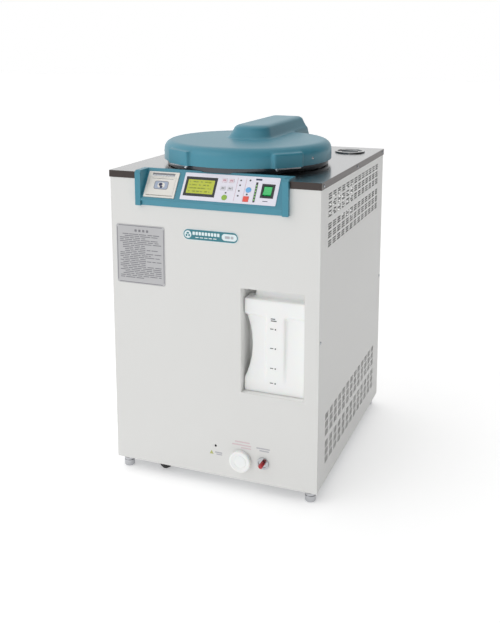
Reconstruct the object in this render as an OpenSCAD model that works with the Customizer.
// Top-loading vertical autoclave: steel cabinet, pressure vessel with a bayonet-locked lid,
// control console with printer, slide-out condensate tank, drain fittings, casters and levelling feet.
// Origin: centre of the footprint, on the floor. +X is the user's right, -Y the front, +Z up.

/* [Cabinet] */
// Width over the side panels
cab_w = 560; // [556:1:564]
// Depth over the front and rear panels
cab_d = 656; // [652:1:660]
// Height of the panels' lower edge above the floor
floor_gap = 30; // [30:1:32]
// Height of the stainless top plate
plate_top = 813; // [813:0.5:814]
// Thickness of the sheet metal
sheet = 1.5; // [1.2:0.1:1.5]
// Height of the top plate's folded rim
rim_h = 17.5; // [14:0.5:20]

/* [Vessel] */
// Inner diameter of the chamber
chamber_d = 320; // [310:1:320]
// Thickness of the chamber wall
vessel_t = 3; // [2:0.5:3]
// Place of the chamber axis, front to back
vessel_y = -78; // [-79:0.5:-77]
// Height where the dished end meets the straight wall
dish_z = 245; // [240:1:250]
// Depth of the dished end
dish_h = 48; // [40:1:50]
// Thickness of the insulation jacket
jacket_t = 24; // [20:1:24]

/* [Lid] */
// Outer radius of the lid cover
cover_r = 224; // [222:1:226]
// Height of the cover's lower edge
cover_bottom = 829; // [828:0.5:830]
// Height of the cover's flat top
cover_top = 878; // [876:1:880]
// Height of the hump over the hinge arm
hump_top = 912; // [910:1:915]
// Wall thickness of the cover
cover_t = 3; // [2.5:0.5:3]
// Hinge axis, front to back
hinge_y = 243; // [243:0.5:244]
// Hinge axis height
hinge_z = 850; // [850:0.5:851]

/* [Console] */
// Width of the console
console_w = 406; // [404:1:408]
// Lower edge of the console
console_z0 = 729; // [728:1:730]
// Upper face of the console
console_z1 = 818; // [817:0.5:819]
// Depth of the console in front of the front panel
console_proud = 12; // [12:0.5:13]

/* [Tank] */
// Left edge of the tank bay
bay_x0 = 78; // [78:0.5:79]
// Right edge of the tank bay
bay_x1 = 243; // [241:0.5:243]
// Lower edge of the tank bay
bay_z0 = 267.5; // [265:0.5:269]
// Upper edge of the tank bay
bay_z1 = 538.5; // [537:0.5:540]
// Depth of the grip scoop in the tank's left side
scoop = 19; // [15:1:20]

/* [Running gear] */
// Radius of the caster wheels
wheel_r = 25; // [24:0.5:25]
// Height of the wheels above the floor when the feet carry the cabinet
wheel_lift = 3; // [2:0.5:4]
// Swivel offset of the front casters
trail = 24; // [20:1:24]
// Radius of a levelling foot
foot_r = 14; // [12:1:15]

/* [Hidden] */
$fn = 96;
eps = 0.05;
gap = 0.4;
run_fit = 0.05;

half_w = cab_w / 2;
half_d = cab_d / 2;
front_y = -half_d;
inner_w = half_w - sheet;
inner_d = half_d - sheet;
plate_z0 = plate_top - sheet;
panel_top = plate_top - 8;
rim_out = 2;
protrusion = 22;

// Vessel
chamber_r = chamber_d / 2;
vessel_r = chamber_r + vessel_t;
jacket_r = vessel_r + 0.5 + jacket_t;
flange_z0 = 795;
flange_z1 = 829;
dish_bottom = dish_z - dish_h;
dish_radius = (vessel_r * vessel_r + dish_h * dish_h) / (2 * dish_h);
lug_count = 8;
lug_pitch = 360 / lug_count;
vessel_lug_r = 203;
vessel_lug_z0 = 820;
plate_hole_r = 204.5;
lid_plate_r = 200;
lid_plate_z0 = 831;
lid_plate_z1 = 843;
ring_in = 210;
ring_out = 216;
ring_lug_in = 192;
ring_z0 = 815.5;
ring_lug_t = 4;
ring_z1 = 848.4;
ring_lip_in = 184;
seal_in = 166;
seal_out = 176;
hinge_pin_r = 6;
barrel_r = 15;
barrel_half = 30;
steam_port_z = 760;
steam_port_r = 8;

// Cover
cover_fillet = 24;
lobe_angles = [-30, 47.5];
lobe_reach = cover_r + 5;
lobe_half = 42;
lobe_start = 150;
lobe_drop = 1.5;
lobe_below = 20;
hump_front = -112;
hump_rear = 270;
hump_base_half = 66;
hump_top_half = 50;
hump_corner = 44;
tail_open_z = 874;
arm_top = 875;

// Console slope
slope_y0 = front_y - console_proud;
slope_z0 = console_z0 + 16;
slope_y1 = slope_y0 + 47;
slope_z1 = slope_z0 + 70;
slope_angle = atan2(slope_z1 - slope_z0, slope_y1 - slope_y0);
cheek_x = console_w / 2 - 15;
body_x = console_w / 2 - 6;
console_back = -285;
fascia_t = 1.5;
key_proud = 0.8;

// Tank bay plan: the rear left corner is cut back so that the bay clears the jacket
bay_cut_left = -264;
bay_cut_right = -119;
bay_wall = 1.2;
mouth_x = 215;
mouth_y = -200;
mouth_r = 17;
tank_front = front_y + 16;

// Lower controls
cap_x = 78;
cap_z = 83;
valve_x = 138;
valve_z = 87;
reset_x = 8;
reset_z = 111;
drain_r = 8;
gland_x = -180;
gland_z = 120;

// Running gear
foot_x = 257;
foot_y = 306;
caster_x = 150;
caster_y = 270;
axle_z = wheel_r + wheel_lift;
tray_z = 75;
tray_t = 3;
stem_r = 6;

// Colours
c_panel = "#E6E6E4";
c_steel = "#B9BABC";
c_teal = "#5A9DB2";
c_dark = "#33363A";
c_white = "#F4F5F5";
c_brass = "#C2A45A";

// ---------- helpers ----------

module along_x(x0, x1) {
    translate([x0, 0, 0]) rotate([90, 0, 90]) linear_extrude(x1 - x0) children();
}

module block(lo, hi) {
    translate(lo) cube([hi[0] - lo[0], hi[1] - lo[1], hi[2] - lo[2]]);
}

module rounded(w, h, r) {
    square([w - 2 * r, h], center = true);
    square([w, h - 2 * r], center = true);
    for (x = [-1, 1], y = [-1, 1])
        translate([x * (w / 2 - r), y * (h / 2 - r)]) circle(r);
}

module rod(p, q, r) {
    d = q - p;
    len = norm(d);
    translate(p) rotate([0, acos(d[2] / len), atan2(d[1], d[0])]) cylinder(h = len, r = r);
}

// A bent pipe through a list of points, with ball elbows
module pipe(pts, r) {
    for (i = [0 : len(pts) - 2]) rod(pts[i], pts[i + 1], r);
    if (len(pts) > 2)
        for (i = [1 : len(pts) - 2]) translate(pts[i]) sphere(r);
}

module hollow_pipe(pts, r, wall) {
    difference() {
        pipe(pts, r);
        first = pts[0] + (pts[0] - pts[1]) / norm(pts[0] - pts[1]);
        n = len(pts) - 1;
        last = pts[n] + (pts[n] - pts[n - 1]) / norm(pts[n] - pts[n - 1]);
        pipe([for (i = [0 : n]) i == 0 ? first : i == n ? last : pts[i]], r - wall);
    }
}

// Places children on the console's slope: x along X, y up the slope, z out of it
module on_slope(x, v, n = 0) {
    translate([x, slope_y0, slope_z0]) rotate([slope_angle, 0, 0]) translate([0, v, n]) children();
}

module screw_y(x, z, y, dir) {
    translate([x, y, z]) rotate([-90 * dir, 0, 0]) screw(1.4);
}

module screw_x(y, z, x, dir, shank) {
    translate([x, y, z]) rotate([0, 90 * dir, 0]) screw(shank);
}

// A pan-head screw whose head sits on z = 0 and whose shank goes down
module screw(shank) {
    difference() {
        intersection() {
            cylinder(h = 2.2, r = 4);
            translate([0, 0, -5]) sphere(7.2);
        }
        for (a = [0, 90]) rotate([0, 0, a]) translate([-2.4, -0.4, 1.2]) cube([4.8, 0.8, 2]);
    }
    translate([0, 0, -shank]) cylinder(h = shank + eps, r = 2);
}

module sector(r, a) {
    intersection() {
        circle(r);
        polygon([[0, 0], 2 * r * [cos(-a / 2), sin(-a / 2)], [2 * r, 0], 2 * r * [cos(a / 2), sin(a / 2)]]);
    }
}

module lugs(r_in, r_out, width, start) {
    for (i = [0 : lug_count - 1]) rotate([0, 0, start + i * lug_pitch])
        difference() {
            sector(r_out, width);
            circle(r_in);
        }
}

// ---------- cabinet ----------

frame_x = inner_w - 2;
frame_y = inner_d - 0.5;
angle_t = 3;
angle_w = 25;

module frame_ring(z0, z1, wall) {
    translate([0, 0, z0]) linear_extrude(z1 - z0) difference() {
        square([2 * frame_x, 2 * frame_y], center = true);
        square([2 * (frame_x - wall), 2 * (frame_y - wall)], center = true);
    }
}

module corner_post(sx, sy) {
    mirror([sx < 0 ? 1 : 0, 0, 0]) mirror([0, sy < 0 ? 1 : 0, 0]) translate([0, 0, tray_z])
        linear_extrude(790 - tray_z) {
            translate([frame_x - angle_w, frame_y - angle_t]) square([angle_w, angle_t]);
            translate([frame_x - angle_t, frame_y - angle_w]) square([angle_t, angle_w]);
        }
}

module base_frame() color("#8E9296") {
    pedestal_r = 150;
    pedestal_in = pedestal_r - 4;
    pedestal_top = dish_bottom + dish_radius - sqrt(pow(dish_radius, 2) - pow(pedestal_in, 2)) - 0.6;
    difference() {
        union() {
            frame_ring(floor_gap + 1.5, tray_z + tray_t, angle_t);
            translate([-frame_x, -frame_y, tray_z]) cube([2 * frame_x, 2 * frame_y, tray_t]);
            for (sx = [-1, 1], sy = [-1, 1])
                translate([sx * (frame_x - 20) - 20, sy * (frame_y - 20) - 20, 36]) cube([40, 40, 12]);
        }
        for (sx = [-1, 1], sy = [-1, 1])
            translate([sx * foot_x, sy * foot_y, 0]) cylinder(h = 60, r = 5);
        for (sx = [-1, 1])
            translate([sx * caster_x, -caster_y, tray_z - 1]) cylinder(h = tray_t + 2, r = stem_r + run_fit);
        block([cap_x - 33, -frame_y - 1, 50], [cap_x + 33, front_y + 76, tray_z + tray_t + 1]);
        block([valve_x - 16, -frame_y - 1, 70], [valve_x + 16, front_y + 31, tray_z + tray_t + 1]);
    }
    for (sx = [-1, 1], sy = [-1, 1]) corner_post(sx, sy);
    for (sx = [-1, 1])
        block([sx * (frame_x - 1.5) - 1.5, -frame_y, 765], [sx * (frame_x - 1.5) + 1.5, frame_y, 790]);
    block([-frame_x, frame_y - angle_t, 765], [frame_x, frame_y, 790]);
    block([-frame_x, -frame_y, 695], [frame_x, -frame_y + angle_t, 720]);
    translate([0, vessel_y, tray_z + tray_t - eps]) difference() {
        cylinder(h = pedestal_top - tray_z - tray_t, r = pedestal_r);
        translate([0, 0, -1]) cylinder(h = 300, r = pedestal_in);
        for (a = [0, 90]) rotate([0, 0, a]) translate([-200, -75, 1]) cube([400, 150, 80]);
    }
}

module rear_or_front_sheet(top) {
    translate([-half_w, -sheet, floor_gap]) cube([cab_w, sheet, top - floor_gap]);
    for (s = [-1, 1])
        translate([s * (inner_w - 0.8) - 0.7, -20, floor_gap]) cube([1.4, 20, top - floor_gap]);
    translate([-inner_w + 2, -6, floor_gap]) cube([2 * inner_w - 4, 6, sheet]);
}

screw_hole_r = 2.2;
rim_screw_ys = [-311, 6, 311];
rim_screw_z = plate_top - 8.5;
side_screw_ys = [front_y + 12, half_d - 12];
mid_screw_z = 420;
rear_screw_x = 262;
rear_screw_zs = [60, mid_screw_z, 785];

module screw_hole_x(y, z) {
    translate([-half_w - 5, y, z]) rotate([0, 90, 0]) cylinder(h = cab_w + 10, r = screw_hole_r);
}

module front_panel() color(c_panel) difference() {
    translate([0, front_y, 0]) mirror([0, 1, 0]) rear_or_front_sheet(panel_top);
    block([-body_x - gap, front_y - 1, console_z0 + 6], [body_x + gap, front_y + 25, panel_top + 1]);
    block([bay_x0, front_y - 1, bay_z0], [bay_x1, front_y + 3, bay_z1]);
    translate([cap_x, front_y - 1, cap_z]) rotate([-90, 0, 0]) cylinder(h = 3, r = 24.6);
    translate([valve_x, front_y - 1, valve_z]) rotate([-90, 0, 0]) cylinder(h = 3, r = 12.4);
    translate([reset_x, front_y - 1, reset_z]) rotate([-90, 0, 0]) cylinder(h = 3, r = 3.3);
    screw_hole_x(side_screw_ys[0], mid_screw_z);
}

// Two columns of wide ventilation slots through the rear panel, from height z upwards
module rear_vents(z, rows) {
    for (row = [0 : rows - 1], side = [-1, 1])
        translate([side * 120 - 70, half_d - 3, z + row * 14]) cube([140, 5, 4]);
}

module rear_panel() color(c_panel) difference() {
    translate([0, half_d, 0]) rear_or_front_sheet(panel_top);
    rear_vents(600, 9);
    rear_vents(200, 6);
    translate([gland_x, half_d - 3, gland_z]) rotate([-90, 0, 0]) cylinder(h = 5, r = 10.2);
    translate([valve_x, half_d - 3, valve_z]) rotate([-90, 0, 0]) cylinder(h = 5, r = 10.2);
    for (x = [-1, 1], z = rear_screw_zs)
        translate([x * rear_screw_x, half_d - 3, z]) rotate([-90, 0, 0]) cylinder(h = 5, r = screw_hole_r);
    screw_hole_x(side_screw_ys[1], mid_screw_z);
}

louvre_high = 775;
louvre_low = 211;
louvre_cols = 13;
louvre_pitch = 41.25;
slot_w = 29;
slot_h = 3.6;
slot_pitch = 5.8;
group_pitch = 21.4;
block_pitch = 74;

// One zone of ventilation slots: two blocks of three groups of three slots in each column
module louvre_zone(top) {
    for (c = [0 : louvre_cols - 1], b = [0, 1], g = [0 : 2], s = [0 : 2])
        translate([(c - (louvre_cols - 1) / 2) * louvre_pitch - 1.5, top - b * block_pitch - g * group_pitch - s * slot_pitch])
            square([slot_w, slot_h], center = true);
}

module side_panel() {
    difference() {
        along_x(inner_w, half_w) difference() {
            translate([-inner_d + 0.2, floor_gap]) square([2 * inner_d - 0.4, panel_top - floor_gap]);
            louvre_zone(louvre_high);
            louvre_zone(louvre_low);
        }
        for (y = rim_screw_ys) screw_hole_x(y, rim_screw_z);
        for (y = side_screw_ys) screw_hole_x(y, mid_screw_z);
    }
}

module right_panel() color(c_panel) side_panel();

module left_panel() color(c_panel) mirror([1, 0, 0]) side_panel();

vent_x = 204;
vent_y = 222;
vent_r = 44;

module top_plate() color("#B4B5B6") {
    px = half_w + rim_out;
    py = half_d + rim_out;
    difference() {
        union() {
            translate([-px, -py, plate_z0]) cube([2 * px, 2 * py, sheet]);
            translate([0, 0, plate_top - rim_h]) linear_extrude(rim_h) difference() {
                square([2 * px, 2 * py], center = true);
                square([2 * (px - sheet), 2 * (py - sheet)], center = true);
            }
        }
        block([-console_w / 2 - gap, -py - 1, 700], [console_w / 2 + gap, front_y - 0.1, 820]);
        block([-body_x - gap, -py - 1, 700], [body_x + gap, console_back + gap, 820]);
        translate([0, vessel_y, plate_z0 - 1]) cylinder(h = 5, r = plate_hole_r);
        translate([vent_x, vent_y, plate_z0 - 1]) cylinder(h = 5, r = vent_r - 6);
        for (y = rim_screw_ys) screw_hole_x(y, rim_screw_z);
    }
}

module panel_screws() color("#D8D8D8") {
    for (s = [-1, 1], y = rim_screw_ys)
        screw_x(y, rim_screw_z, s * (half_w + rim_out), s, 3.4);
    for (s = [-1, 1], y = side_screw_ys) screw_x(y, mid_screw_z, s * half_w, s, 2.6);
    for (x = [-1, 1], z = rear_screw_zs) screw_y(x * rear_screw_x, z, half_d, 1);
}

module vent_cover() color(c_steel) translate([vent_x, vent_y, plate_top]) {
    difference() {
        union() {
            cylinder(h = 4, r = vent_r);
            translate([0, 0, -7]) cylinder(h = 7 + eps, r = vent_r - 6.4);
        }
        translate([0, 0, 1.5]) cylinder(h = 5, r = vent_r - 8);
        translate([0, 0, -8]) cylinder(h = 8, r = vent_r - 8);
    }
    translate([-24, -4, 1]) cube([48, 8, 5]);
}

// ---------- pressure vessel ----------

module vessel_section(inset) {
    translate([0, dish_z]) square([vessel_r - inset, flange_z0 - dish_z]);
    intersection() {
        translate([0, dish_bottom + dish_radius]) circle(dish_radius - inset, $fn = 256);
        translate([0, dish_bottom - 1]) square([vessel_r - inset, dish_h + 1 + eps]);
    }
}

rack_z = 262;
leg_x = 60;

module vessel() color(c_steel) translate([0, vessel_y, 0]) {
    difference() {
        rotate_extrude() difference() {
            vessel_section(0);
            vessel_section(vessel_t);
            translate([0, flange_z0 - 1]) square([vessel_r - vessel_t, 2]);
        }
        cylinder(h = 400, r = drain_r + 0.1);
        for (s = [-1, 1]) translate([s * leg_x, 0, 150]) cylinder(h = 90, r = 6);
        translate([0, 0, steam_port_z]) rotate([-90, 0, 0]) cylinder(h = 200, r = steam_port_r + 0.1);
    }
    for (a = [30, 150, 270]) rotate([0, 0, a])
        translate([chamber_r - 9, -6, rack_z - 6]) cube([10, 12, 5.6]);
}

module vessel_flange() color("#A9ABAD") translate([0, vessel_y, 0]) {
    translate([0, 0, flange_z0]) linear_extrude(flange_z1 - flange_z0) difference() {
        circle(188);
        circle(chamber_r);
    }
    translate([0, 0, vessel_lug_z0]) linear_extrude(flange_z1 - vessel_lug_z0)
        lugs(187, vessel_lug_r, 22, lug_pitch / 2);
}

module insulation() color("#C9CBCC") translate([0, vessel_y, 0]) difference() {
    translate([0, 0, dish_z]) cylinder(h = flange_z0 - dish_z - 1, r = jacket_r);
    translate([0, 0, dish_z - 1]) cylinder(h = 600, r = vessel_r + 0.5);
    translate([0, 0, steam_port_z]) rotate([-90, 0, 0]) cylinder(h = 250, r = steam_port_r + 1);
}

module heater() color("#6C6A66") translate([0, vessel_y, 0]) {
    heater_z = 240;
    tube_r = 5.5;
    for (r = [leg_x, 110]) translate([0, 0, heater_z]) rotate_extrude() translate([r, 0]) circle(tube_r);
    for (s = [-1, 1]) {
        rod([s * leg_x, 0, heater_z], [s * 110, 0, heater_z], tube_r - 0.5);
        rod([s * leg_x, 0, 176], [s * leg_x, 0, heater_z], tube_r - 0.5);
    }
}

module rack() color(c_steel) translate([0, vessel_y, rack_z]) linear_extrude(2) difference() {
    circle(chamber_r - 5);
    for (ring = [1 : 4], i = [0 : 6 * ring - 1]) rotate([0, 0, i * 60 / ring]) translate([ring * 33, 0])
        circle(10, $fn = 6);
    circle(10, $fn = 6);
}

block_y0 = 145;
block_y1 = 185;

module safety_valve() color(c_brass) translate([0, (block_y0 + block_y1) / 2, steam_port_z]) rotate([0, -90, 0]) {
    translate([0, 0, 20]) cylinder(h = 14, r = 9);
    translate([0, 0, 34]) cylinder(h = 10, r = 14, $fn = 6);
    translate([0, 0, 44]) cylinder(h = 34, r = 12);
    translate([0, 0, 78]) cylinder(h = 8, r = 5);
    translate([0, 0, 86]) rotate([0, 90, 0]) rotate_extrude() translate([9, 0]) circle(1.5);
}

module exhaust_valve() {
    mid = (block_y0 + block_y1) / 2;
    color(c_brass) {
        block([-20, block_y0, steam_port_z - 18], [20, block_y1, steam_port_z + 18]);
        block([20 - eps, mid - 14, steam_port_z - 14], [62, mid + 14, steam_port_z + 14]);
    }
    color(c_dark) block([24, mid - 18, steam_port_z - 66], [58, mid + 18, steam_port_z - 14 + eps]);
}

module steam_pipe() color(c_steel) {
    hollow_pipe([[0, vessel_y + chamber_r + 0.5, steam_port_z], [0, block_y0, steam_port_z]], steam_port_r, 1.5);
    mid = (block_y0 + block_y1) / 2;
    hollow_pipe([
        [62, mid, steam_port_z],
        [mouth_x, mid, steam_port_z],
        [mouth_x, mouth_y, steam_port_z],
        [mouth_x, mouth_y, bay_z1 + 0.5]
    ], steam_port_r, 1.5);
}

module drain_pipe() color(c_steel) {
    y_top = front_y + 43;
    z_run = 130;
    hollow_pipe([
        [0, vessel_y, dish_bottom + vessel_t],
        [0, vessel_y, z_run],
        [valve_x, vessel_y, z_run],
        [valve_x, y_top, z_run],
        [valve_x, y_top, valve_z + 14]
    ], drain_r, 1.5);
    hollow_pipe([[valve_x, front_y + 70, valve_z], [valve_x, half_d + protrusion, valve_z]], drain_r, 1.5);
    translate([valve_x, half_d + 2, valve_z]) rotate([-90, 0, 0]) difference() {
        cylinder(h = protrusion - 2, r = drain_r + 1.5);
        translate([0, 0, -1]) cylinder(h = protrusion + 2, r = drain_r - 0.5);
    }
}

module drain_valve() color("#C8CACC") {
    translate([valve_x, front_y - 0.2, valve_z]) rotate([90, 0, 0]) difference() {
        cylinder(h = 4, r = 15.5);
        translate([0, 0, 1]) cylinder(h = 4, r = 11.5);
        translate([0, 0, -1]) cylinder(h = 4, r = 3 + run_fit);
    }
    difference() {
        union() {
            translate([valve_x, front_y - 0.3, valve_z]) rotate([-90, 0, 0]) cylinder(h = 30, r = 12);
            block([valve_x - 14, front_y + 28, valve_z - 8], [valve_x + 14, front_y + 70, valve_z + 14]);
        }
        translate([valve_x, front_y - 1, valve_z]) rotate([-90, 0, 0]) cylinder(h = 21, r = 3 + run_fit);
    }
}

module drain_knob() color("#B01E28") translate([valve_x, front_y, valve_z]) rotate([90, 0, 0]) {
    translate([0, 0, 2.2]) cylinder(h = protrusion - 4.2, r = 5.8);
    translate([0, 0, protrusion - 3]) cylinder(h = 3, r1 = 5.8, r2 = 3.6);
    translate([-1.6, -7.6, 4]) cube([3.2, 15.2, 12]);
    translate([0, 0, -16]) cylinder(h = 19, r = 3);
}

module strainer() color(c_white) translate([cap_x, front_y, cap_z]) rotate([-90, 0, 0]) difference() {
    union() {
        translate([0, 0, -8]) cylinder(h = 66, r = 24);
        translate([0, 0, sheet + 0.5]) cylinder(h = 4, r = 29);
        translate([0, 0, 57]) cylinder(h = 16, r = 9);
    }
    translate([0, 0, -9]) cylinder(h = 63, r = 21);
    translate([0, 0, 50]) cylinder(h = 30, r = 6);
}

module strainer_cap() color(c_white) translate([cap_x, front_y, cap_z]) rotate([90, 0, 0]) difference() {
    union() {
        translate([0, 0, 0.6]) cylinder(h = 9.4, r = 28.5);
        translate([0, 0, 9.9]) cylinder(h = 1.9, r1 = 28.5, r2 = 26.6);
    }
    translate([0, 0, -1]) cylinder(h = 9.6, r = 24.35);
    translate([0, 0, 11]) difference() {
        cylinder(h = 2, r = 17);
        translate([0, 0, -1]) cylinder(h = 4, r = 15.8);
    }
}

// ---------- condensate tank ----------

module bay_plan(grow) {
    back = grow * 1.33;
    polygon([
        [bay_x0 - grow, front_y + sheet + 0.1],
        [bay_x1 + grow, front_y + sheet + 0.1],
        [bay_x1 + grow, bay_cut_right + back],
        [bay_x0 - grow, bay_cut_left + back]
    ]);
}

module tank_bay() color("#D9DADA") {
    z0 = bay_z0 - bay_wall;
    z1 = bay_z1 + bay_wall;
    difference() {
        translate([0, 0, z0]) linear_extrude(z1 - z0) bay_plan(bay_wall);
        translate([0, 0, bay_z0]) linear_extrude(bay_z1 - bay_z0) union() {
            bay_plan(0);
            translate([bay_x0, front_y]) square([bay_x1 - bay_x0, 10]);
        }
        translate([mouth_x, mouth_y, bay_z1 - 2]) cylinder(h = 10, r = 12);
    }
}

tank_z0 = bay_z0 + 0.4;
tank_z1 = 533;
band_z0 = 471;
band_z1 = 510;
rib_x0 = 137;
rib_x1 = 187;

module tank_plan(inset, front) {
    back = inset * 1.33;
    polygon([
        [bay_x0 + 2.5 + inset, front],
        [bay_x1 - 3 - inset, front],
        [bay_x1 - 3 - inset, bay_cut_right - 7 - back],
        [bay_x0 + 2.5 + inset, bay_cut_left - 2 - back]
    ]);
}

// Outer form of the tank, or with an inset the form of the space inside it
module tank_form(inset) {
    scoop_half = 86;
    scoop_r = (scoop_half * scoop_half + scoop * scoop) / (2 * scoop);
    scoop_z = 387.5;
    z0 = tank_z0 + inset;
    difference() {
        union() {
            translate([0, 0, z0]) linear_extrude(band_z1 - inset - z0) tank_plan(inset, tank_front + inset);
            translate([0, 0, z0]) linear_extrude(tank_z1 - inset - z0) intersection() {
                tank_plan(inset, tank_front + 24 + inset);
                translate([100 + inset, -400]) square([200, 400]);
            }
        }
        translate([bay_x0 + 2.5 + scoop - scoop_r, -400, scoop_z])
            rotate([-90, 0, 0]) cylinder(h = 300, r = scoop_r + inset, $fn = 256);
        for (x = [[0, rib_x0], [rib_x1, 300]])
            along_x(x[0] - (x[0] > 0 ? inset : 0), x[1] + (x[0] > 0 ? 0 : inset)) polygon([
                [tank_front - 1, band_z0 + inset],
                [tank_front + 10 + inset, band_z0 - 5 + inset],
                [tank_front + 6 + inset, 340],
                [tank_front + inset, 296 - inset],
                [tank_front - 1, 296 - inset]
            ]);
    }
}

module tank() color(c_white) difference() {
    tank_form(0);
    tank_form(3);
    translate([mouth_x, mouth_y, tank_z1 - 10]) cylinder(h = 20, r = mouth_r);
}

// ---------- console ----------

module console_housing() color(c_teal) {
    outer = console_w / 2;
    wall = 3.2;
    difference() {
        union() {
            along_x(-outer, outer) polygon([
                [slope_y0, console_z0],
                [slope_y0, console_z1 - 6],
                [slope_y0 + 6, console_z1],
                [console_back, console_z1],
                [console_back, plate_top + 0.2],
                [front_y - 0.1, plate_top + 0.2],
                [front_y - 0.1, console_z0]
            ]);
            block([-body_x, front_y - 0.2, console_z0 + 6 + gap], [body_x, console_back, plate_top + 0.3]);
        }
        along_x(-cheek_x, cheek_x) polygon([
            [slope_y0 - 1, slope_z0 - 1.49],
            [slope_y1 + 2, slope_z1 + 2.98],
            [slope_y1 + 2, console_z1 + 1],
            [slope_y0 - 1, console_z1 + 1]
        ]);
        along_x(-cheek_x, cheek_x) polygon([
            [slope_y0 - 1, slope_z0],
            [slope_y0, slope_z0],
            [slope_y0 + 9, console_z0],
            [slope_y0 + 9, console_z0 - 1],
            [slope_y0 - 1, console_z0 - 1]
        ]);
        along_x(-cheek_x + wall, cheek_x - wall) polygon([
            [slope_y0 + 12.5, console_z0 + 4],
            [slope_y0 + 4, slope_z0 + 0.2],
            [slope_y1 + 1.5, slope_z1 - 3.5],
            [console_back + 1, slope_z1 - 3.5],
            [console_back + 1, console_z0 + 4]
        ]);
        block([-cheek_x + wall, front_y + 6, console_z0], [cheek_x - wall, console_back + 1, console_z0 + 20]);
        translate([0, vessel_y, ring_z0 - 0.5]) cylinder(h = 5, r = ring_out + 1.5);
        on_slope(0, 0, -12) {
            block([-182.6, 7.4, 0], [-96.4, 78.6, 30]);
            block([-78, 11, 0], [167, 78, 30]);
        }
    }
}

lcd_x = -33;
lcd_v = 44.5;
lcd_w = 84;
lcd_h = 51.7;
switch_x = 143.5;
switch_v = 44.6;
switch_w = 33;
switch_h = 36.5;

module key_outline(kind, grow) {
    if (kind == "square") rounded(14 + 2 * grow, 14 + 2 * grow, 1.5);
    if (kind == "flat") rounded(13 + 2 * grow, 10 + 2 * grow, 2);
    if (kind == "round") circle(7 + grow);
}

key_left_x = 27.5;
key_right_x = 46;
key_mid_x = 36;
key_blue_x = 94;
key_red_x = 92;
row_top = 65.5;
row_mid = 44.6;
row_low = 20.5;

module key_at(x, v, kind) {
    on_slope(x, v, -1) linear_extrude(1 + fascia_t + key_proud) key_outline(kind, 0);
}

module fascia_hole(x, v, kind) {
    translate([x, v]) key_outline(kind, gap);
}

module console_fascia() color("#EDEAF5") on_slope(0, 0) linear_extrude(fascia_t) difference() {
    translate([44.5, 44.5]) rounded(251, 73, 2);
    translate([lcd_x, lcd_v]) square([lcd_w + gap, lcd_h + gap], center = true);
    translate([switch_x, switch_v]) square([switch_w + gap, switch_h + gap], center = true);
    fascia_hole(key_left_x, row_top, "flat");
    fascia_hole(key_right_x, row_top, "flat");
    fascia_hole(key_left_x, row_mid, "flat");
    fascia_hole(key_right_x, row_mid, "flat");
    fascia_hole(key_mid_x, row_low, "round");
    fascia_hole(key_blue_x, row_mid, "round");
    fascia_hole(key_red_x, row_low, "square");
}

module key_pink_left() color("#E9C6CF") key_at(key_left_x, row_top, "flat");

module key_pink_right() color("#E9C6CF") key_at(key_right_x, row_top, "flat");

module key_grey_left() color("#D6D6DC") key_at(key_left_x, row_mid, "flat");

module key_grey_right() color("#D6D6DC") key_at(key_right_x, row_mid, "flat");

module key_green() color("#8FBF4E") key_at(key_mid_x, row_low, "round");

module key_blue() color("#6BB4E4") key_at(key_blue_x, row_mid, "round");

module key_red() color("#EE5548") key_at(key_red_x, row_low, "square");

module lcd_module() color(c_dark) on_slope(lcd_x, lcd_v) difference() {
    translate([-lcd_w / 2, -lcd_h / 2, -9]) cube([lcd_w, lcd_h, 11.2]);
    translate([-36, -19, 1]) cube([72, 38, 3]);
}

rocker_w = 20.4;
rocker_half = 11;
rocker_n = -3;
rocker_pin = 12.5;

module switch_frame() color(c_dark) on_slope(switch_x, switch_v) difference() {
    translate([-switch_w / 2, -switch_h / 2, -20]) cube([switch_w, switch_h, 22.4]);
    translate([-11, -13.4, -14]) cube([22, 26.8, 20]);
    rod([-rocker_pin - 0.4, 0, rocker_n], [rocker_pin + 0.4, 0, rocker_n], 1.2 + run_fit);
}

module power_rocker() color("#2FC46A") on_slope(switch_x, switch_v, rocker_n) rotate([-7, 0, 0]) {
    rod([-rocker_pin, 0, 0], [rocker_pin, 0, 0], 1.2);
    along_x(-rocker_w / 2, rocker_w / 2) polygon([
        [-rocker_half, 0],
        [-5, -7],
        [5, -7],
        [rocker_half, 0],
        [rocker_half, 6],
        [0, 4.4],
        [-rocker_half, 6]
    ]);
}

printer_x = -139.5;
printer_w = 85;
door_w = 72;
door_v0 = 14;
door_v1 = 62.5;
door_pivot_v = 15;
door_pivot_n = 1;
roll_v = 39;
roll_n = -18;

module printer_body() color("#E8E4DE") on_slope(printer_x, 0) difference() {
    union() {
        difference() {
            block([-printer_w / 2, 8, -36], [printer_w / 2, 78, 2.4]);
            block([-door_w / 2 - gap, 12.4, -34], [door_w / 2 + gap, 63, 5]);
            block([-30, 66, -14], [30, 69, 5]);
            block([-36, 72.4, 1.4], [36, 74, 5]);
            block([-30, 60, -14], [30, 69, -10]);
        }
        for (s = [-1, 1]) rod([s * 37, roll_v, roll_n], [s * 27, roll_v, roll_n], 4.9);
    }
    for (s = [-1, 1]) rod([s * 35, door_pivot_v, door_pivot_n], [s * 39, door_pivot_v, door_pivot_n], 1.05);
}

module printer_door() color("#ECE9E4") on_slope(printer_x, 0) difference() {
    union() {
        block([-door_w / 2, door_v0, 0], [door_w / 2, door_v1, 2.6]);
        for (s = [-1, 1])
            rod([s * (door_w / 2 - 1), door_pivot_v, door_pivot_n], [s * 38.4, door_pivot_v, door_pivot_n], 1);
    }
    translate([0, door_v1 - 3, 2]) linear_extrude(2) rounded(22, 3, 1.4);
}

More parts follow.
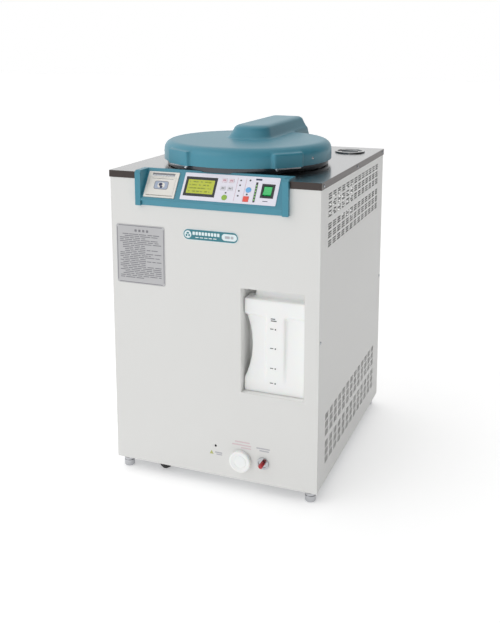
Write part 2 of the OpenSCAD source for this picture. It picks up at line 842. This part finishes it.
module paper_roll() color("#FAFAF6") on_slope(printer_x, 0) difference() {
    rod([-31, roll_v, roll_n], [31, roll_v, roll_n], 14);
    rod([-32, roll_v, roll_n], [32, roll_v, roll_n], 5);
}

module controller_board() on_slope(0, 0) {
    color("#2E6B45") block([-76, 14, -17], [120, 76, -15.2]);
    color(c_dark) for (c = [[-60, 30, 22], [-10, 46, 30], [40, 26, 18], [84, 44, 24]])
        translate([c[0], c[1], -21]) cube([c[2], 16, 4 + eps]);
}

// ---------- lid ----------

module hinge_bracket() color("#9A9DA0") difference() {
    union() {
        block([-50, 206, plate_top], [50, 251, plate_top + 3]);
        for (s = [-1, 1]) along_x(s * 37 - 6, s * 37 + 6) {
            translate([hinge_y, hinge_z]) circle(14);
            translate([hinge_y - 14, plate_top + 2]) square([28, hinge_z - plate_top - 2]);
            polygon([[208, plate_top + 2], [hinge_y - 13.5, plate_top + 2], [hinge_y - 13.5, hinge_z - 8]]);
        }
    }
    translate([-60, hinge_y, hinge_z]) rotate([0, 90, 0]) cylinder(h = 120, r = hinge_pin_r + run_fit);
}

module hinge_pin() color("#D0D2D4") translate([0, hinge_y, hinge_z]) rotate([0, 90, 0]) {
    translate([0, 0, -47]) cylinder(h = 94, r = hinge_pin_r);
    translate([0, 0, 43.4]) cylinder(h = 4, r = 9);
    translate([0, 0, -47.4]) cylinder(h = 4, r = 9);
}

module lid_arm() color("#8E9296") difference() {
    union() {
        block([-25, vessel_y - 10, 851], [25, hinge_y, arm_top]);
        translate([-barrel_half, hinge_y, hinge_z]) rotate([0, 90, 0]) cylinder(h = 2 * barrel_half, r = barrel_r);
        translate([0, vessel_y, lid_plate_z1 + 3]) cylinder(h = 20, r = 30);
    }
    block([-20, vessel_y + 32, 840], [20, hinge_y - barrel_r - 6, 870]);
    translate([-60, hinge_y, hinge_z]) rotate([0, 90, 0]) cylinder(h = 120, r = hinge_pin_r + run_fit);
}

module lid_plate() color(c_steel) translate([0, vessel_y, 0]) difference() {
    union() {
        translate([0, 0, lid_plate_z0]) cylinder(h = lid_plate_z1 - lid_plate_z0, r = lid_plate_r);
        translate([0, 0, lid_plate_z1 - 1]) cylinder(h = 4, r = ring_lip_in - gap);
    }
    translate([0, 0, lid_plate_z0 - 1]) linear_extrude(6.2) difference() {
        circle(seal_out + 0.2);
        circle(seal_in - 0.2);
    }
}

module gasket() color("#D9D2C6") translate([0, vessel_y, 0]) rotate_extrude() {
    translate([seal_in, flange_z1 + 2.6]) square([seal_out - seal_in, 4.4]);
    translate([(seal_in + seal_out) / 2, flange_z1 + 3.2]) circle(3);
}

module lock_ring() color("#A2A5A8") translate([0, vessel_y, 0]) {
    translate([0, 0, ring_z0]) linear_extrude(ring_z1 - ring_z0) difference() {
        circle(ring_out);
        circle(ring_in);
    }
    translate([0, 0, lid_plate_z1 + gap]) linear_extrude(ring_z1 - lid_plate_z1 - gap) difference() {
        circle(ring_out - 1);
        circle(ring_lip_in);
    }
    translate([0, 0, ring_z0]) linear_extrude(ring_lug_t) lugs(ring_lug_in, ring_in + 1, 20, 0);
}

module lock_motor() color(c_dark) {
    block([-20, 30, 875], [20, 92, 898]);
    translate([0, -34, 888]) rotate([-90, 0, 0]) cylinder(h = 64 + eps, r = 12);
    translate([0, -42, 888]) rotate([-90, 0, 0]) cylinder(h = 9, r = 4);
}

// Plan of the hump at one height: straight sides, rounded front, square rear
module hump_slice(z, half, front, rear, corner) {
    translate([0, 0, z]) linear_extrude(0.1) {
        for (s = [-1, 1]) translate([s * (half - corner), front + corner]) circle(corner, $fn = 32);
        translate([-half, front + corner]) square([2 * half, rear - front - corner]);
    }
}

module hump_form(inset) {
    top = hump_top - inset;
    hull() {
        hump_slice(850, hump_base_half - inset, hump_front + 2 + inset, hump_rear - inset, hump_corner);
        hump_slice(cover_top, hump_base_half - 6 - inset, hump_front + 6 + inset, hump_rear - 9 - inset, hump_corner);
        hump_slice(top - 8, hump_top_half - inset, -88 + inset, 253 - inset, hump_corner - 6);
        hump_slice(top - 2, hump_top_half - 7 - inset, -77 + inset, 248 - inset, hump_corner - 10);
        hump_slice(top - 0.1, hump_top_half - 13 - inset, -66 + inset, 240 - inset, hump_corner - 16);
    }
}

module cover_profile(inset) {
    f = cover_fillet - inset;
    r = cover_r - inset;
    top = cover_top - inset;
    bottom = cover_bottom - (inset > 0 ? lobe_drop + 1.5 : 0);
    translate([0, bottom]) square([r, top - f - bottom]);
    translate([0, bottom]) square([r - f, top - bottom]);
    translate([r - f, top - f]) circle(f);
}

module lobe_form(inset) {
    bottom = cover_bottom - lobe_drop - (inset > 0 ? 1 : 0);
    top = cover_top - lobe_below - inset;
    for (a = lobe_angles) rotate([0, 0, a - 90]) translate([lobe_start, -lobe_half + inset, bottom])
        cube([lobe_reach - lobe_start - inset, 2 * (lobe_half - inset), top - bottom]);
}

module cover_shell() difference() {
    union() {
        translate([0, vessel_y, 0]) {
            rotate_extrude($fn = 128) intersection() {
                cover_profile(0);
                square([300, 1000]);
            }
            lobe_form(0);
        }
        hump_form(0);
        for (s = [-1, 1]) block([s * 64.5 - 1.5, 100, cover_bottom + 2], [s * 64.5 + 1.5, hump_rear - 3, 852]);
    }
    translate([0, vessel_y, 0]) {
        rotate_extrude($fn = 128) intersection() {
            cover_profile(cover_t);
            square([300, 1000]);
        }
        lobe_form(cover_t);
    }
    hump_form(cover_t);
    block([-63, 100, 820], [63, hump_rear + 5, tail_open_z]);
    block([-80, hump_rear - 12, 820], [80, hump_rear + 5, cover_bottom + 2]);
}

// The cover hangs on two posts that stand on the arm
module cover_posts() {
    for (y = [-50, 180]) translate([0, y, arm_top]) cylinder(h = hump_top - cover_t + 1 - arm_top, r = 6);
}

module lid_cover() color(c_teal) {
    cover_shell();
    cover_posts();
}

// ---------- trim ----------

module notice_plate() color("#C4C4C6")
    translate([-197, front_y - 0.1, 597.5]) rotate([90, 0, 0]) linear_extrude(0.8) rounded(138, 155, 6);

module cable_gland() color(c_dark) translate([gland_x, half_d, gland_z]) rotate([-90, 0, 0]) difference() {
    union() {
        translate([0, 0, -14]) cylinder(h = 15, r = 10);
        translate([0, 0, -8]) cylinder(h = 6, r = 14, $fn = 6);
        translate([0, 0, 0.1]) cylinder(h = 7, r = 14, $fn = 6);
        translate([0, 0, 7]) cylinder(h = protrusion - 11, r = 11);
        translate([0, 0, protrusion - 4]) cylinder(h = 4, r1 = 11, r2 = 8);
    }
    translate([0, 0, -20]) cylinder(h = 60, r = 5);
}

// ---------- running gear ----------

module foot(sx, sy) color("#C5C7C9") translate([sx * foot_x, sy * foot_y, 0]) {
    cylinder(h = 2, r1 = foot_r - 1, r2 = foot_r);
    translate([0, 0, 2 - eps]) cylinder(h = 14, r = foot_r);
    translate([0, 0, 15]) cylinder(h = 3, r = foot_r - 1.5);
    translate([0, 0, 18 - eps]) cylinder(h = 6, r = foot_r);
    translate([0, 0, 24 - eps]) cylinder(h = 5, r = foot_r - 1, $fn = 6);
    cylinder(h = 62, r = 4.9);
}

module foot_front_left() foot(-1, -1);

module foot_front_right() foot(1, -1);

module foot_rear_left() foot(-1, 1);

module foot_rear_right() foot(1, 1);

// A caster fork on its own axis: dir is the way the wheel trails, offset how far
module fork(dir, offset) {
    crown_z = 64;
    translate([0, 0, crown_z]) cylinder(h = 5, r = 20);
    translate([0, 0, crown_z + 5 - eps]) cylinder(h = tray_z - crown_z - 5.3, r = 14);
    for (s = [-1, 1]) along_x(s * 12.2 - 1.2, s * 12.2 + 1.2) polygon([
        [-15, crown_z + 1],
        [15, crown_z + 1],
        [dir * offset + 8, axle_z],
        [dir * offset + 5, axle_z - 7],
        [dir * offset - 5, axle_z - 7],
        [dir * offset - 8, axle_z]
    ]);
    rod([-15, dir * offset, axle_z], [15, dir * offset, axle_z], 4);
}

module swivel_fork(sx, dir) color("#B5B7B9") translate([sx * caster_x, -caster_y, 0]) {
    fork(dir, trail);
    translate([0, 0, tray_z - 5]) cylinder(h = tray_t + 5.5, r = stem_r);
}

module fork_front_left() swivel_fork(-1, -1);

module fork_front_right() swivel_fork(1, 1);

module rear_forks() color("#B5B7B9") for (sx = [-1, 1]) translate([sx * caster_x, caster_y, 0]) {
    fork(1, 0);
    translate([-24, -24, tray_z - 3]) cube([48, 48, 2.9]);
}

module wheel_at(x, y) color(c_dark) translate([x, y, axle_z]) rotate([0, 90, 0]) rotate_extrude() difference() {
    union() {
        translate([0, -9.4]) square([11, 18.8]);
        translate([0, -6]) square([wheel_r - 3, 12]);
        translate([wheel_r - 10, -10]) square([7, 20]);
        translate([wheel_r - 10, -7]) square([10, 14]);
        for (s = [-1, 1]) translate([wheel_r - 3, s * 7]) circle(3);
    }
    translate([-1, -20]) square([5 + run_fit, 40]);
}

module wheel_front_left() wheel_at(-caster_x, -caster_y - trail);

module wheel_front_right() wheel_at(caster_x, -caster_y + trail);

module wheel_rear_left() wheel_at(-caster_x, caster_y);

module wheel_rear_right() wheel_at(caster_x, caster_y);

base_frame();
front_panel();
left_panel();
right_panel();
rear_panel();
top_plate();
panel_screws();
vent_cover();
vessel();
vessel_flange();
insulation();
heater();
rack();
safety_valve();
exhaust_valve();
steam_pipe();
drain_pipe();
drain_valve();
drain_knob();
strainer();
strainer_cap();
tank_bay();
tank();
console_housing();
console_fascia();
lcd_module();
key_pink_left();
key_pink_right();
key_grey_left();
key_grey_right();
key_green();
key_blue();
key_red();
switch_frame();
power_rocker();
printer_body();
printer_door();
paper_roll();
controller_board();
hinge_bracket();
hinge_pin();
lid_arm();
lid_plate();
gasket();
lid_cover();
lock_ring();
lock_motor();
notice_plate();
cable_gland();
foot_front_left();
foot_front_right();
foot_rear_left();
foot_rear_right();
fork_front_left();
fork_front_right();
rear_forks();
wheel_front_left();
wheel_front_right();
wheel_rear_left();
wheel_rear_right();
